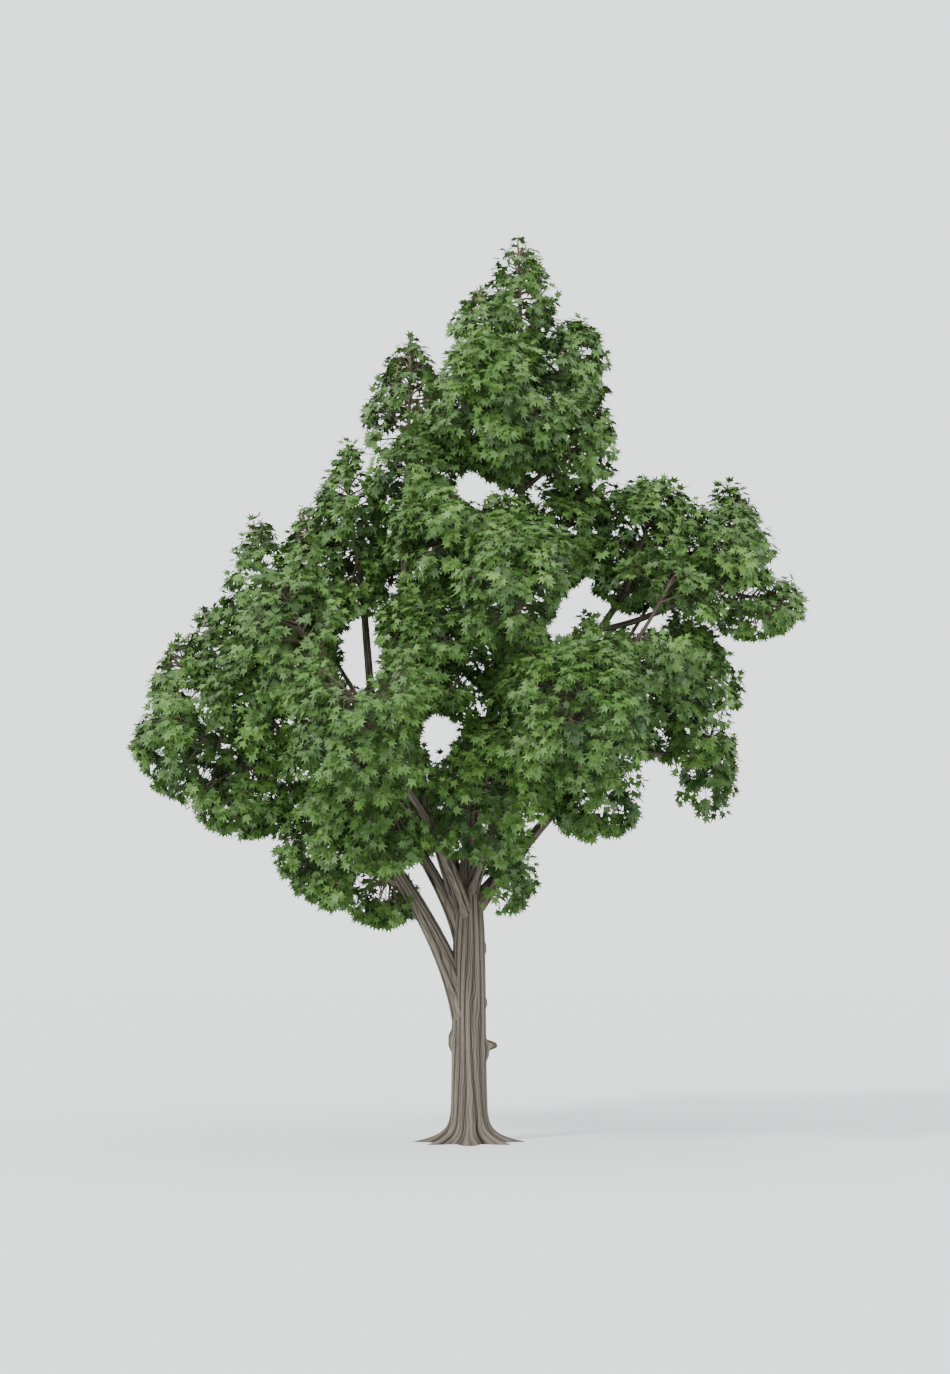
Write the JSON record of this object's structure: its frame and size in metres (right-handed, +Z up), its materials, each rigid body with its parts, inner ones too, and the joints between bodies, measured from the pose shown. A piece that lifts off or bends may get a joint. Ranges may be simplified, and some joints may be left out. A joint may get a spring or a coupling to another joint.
{
  "type": "sweetgum tree",
  "caption": "Full-grown broadleaf tree in summer leaf: flared fluted trunk, rising boughs and an irregular domed crown of drooping star-shaped leaves.",
  "frame": {"origin": "middle of the flat cut under the trunk, at ground level", "axes": "+Z up the trunk, +X to the right of the tree as drawn, +Y away from the viewer"},
  "size_m": [14.6814, 12.5712, 20.0289],
  "materials": {
    "furrowed_bark": "rough grey-brown furrowed bark",
    "leaf_green_1": "matte deep green leaves",
    "leaf_green_2": "matte deep green leaves",
    "leaf_green_3": "matte deep green leaves"
  },
  "bodies": {
    "root": {"back_crest_mass": "leaf_green_1", "back_far_left_mass": "leaf_green_3", "back_far_right_mass": "leaf_green_2", "back_high_mass": "leaf_green_2", "back_inner_left_mass": "leaf_green_3", "back_inner_right_mass": "leaf_green_2", "back_left_bough": "furrowed_bark", "back_low_inner_mass": "leaf_green_3", "back_low_middle_mass": "leaf_green_1", "back_outer_left_mass": "leaf_green_2", "back_outer_right_mass": "leaf_green_1", "back_right_bough": "furrowed_bark", "back_upper_mass": "leaf_green_3", "front_crest_mass": "leaf_green_3", "front_far_left_mass": "leaf_green_2", "front_far_right_mass": "leaf_green_1", "front_high_mass": "leaf_green_1", "front_inner_left_mass": "leaf_green_2", "front_inner_right_mass": "leaf_green_1", "front_left_bough": "furrowed_bark", "front_low_inner_mass": "leaf_green_2", "front_low_middle_mass": "leaf_green_3", "front_outer_left_mass": "leaf_green_1", "front_outer_right_mass": "leaf_green_3", "front_right_bough": "furrowed_bark", "front_upper_mass": "leaf_green_2", "high_right_shoulder": "leaf_green_3", "inner_left_bough": "furrowed_bark", "left_bough": "furrowed_bark", "left_hanging_mass": "leaf_green_3", "left_inner_mass": "leaf_green_3", "left_middle_mass": "leaf_green_2", "left_shoulder": "leaf_green_3", "left_tip_mass": "leaf_green_1", "left_turret_1": "leaf_green_2", "left_turret_2": "leaf_green_1", "left_turret_3": "leaf_green_2", "left_turret_4": "leaf_green_3", "left_turret_5": "leaf_green_1", "left_turret_6": "leaf_green_2", "low_left_bough": "furrowed_bark", "low_left_mass": "leaf_green_1", "low_left_spur": "furrowed_bark", "low_left_tuft": "leaf_green_2", "low_right_mass": "leaf_green_3", "low_right_shoulder": "leaf_green_1", "low_right_tuft": "leaf_green_1", "right_arm": "furrowed_bark", "right_beak": "leaf_green_2", "right_bough": "furrowed_bark", "right_crest": "leaf_green_3", "right_hanging_tip": "leaf_green_2", "right_inner_mass": "leaf_green_3", "right_middle_mass": "leaf_green_1", "right_turret": "leaf_green_1", "top_left_tuft": "leaf_green_2", "top_turret": "leaf_green_1", "trunk": "furrowed_bark", "upper_right_bough": "furrowed_bark", "upright_bough": "furrowed_bark"}
  },
  "joints": []
}
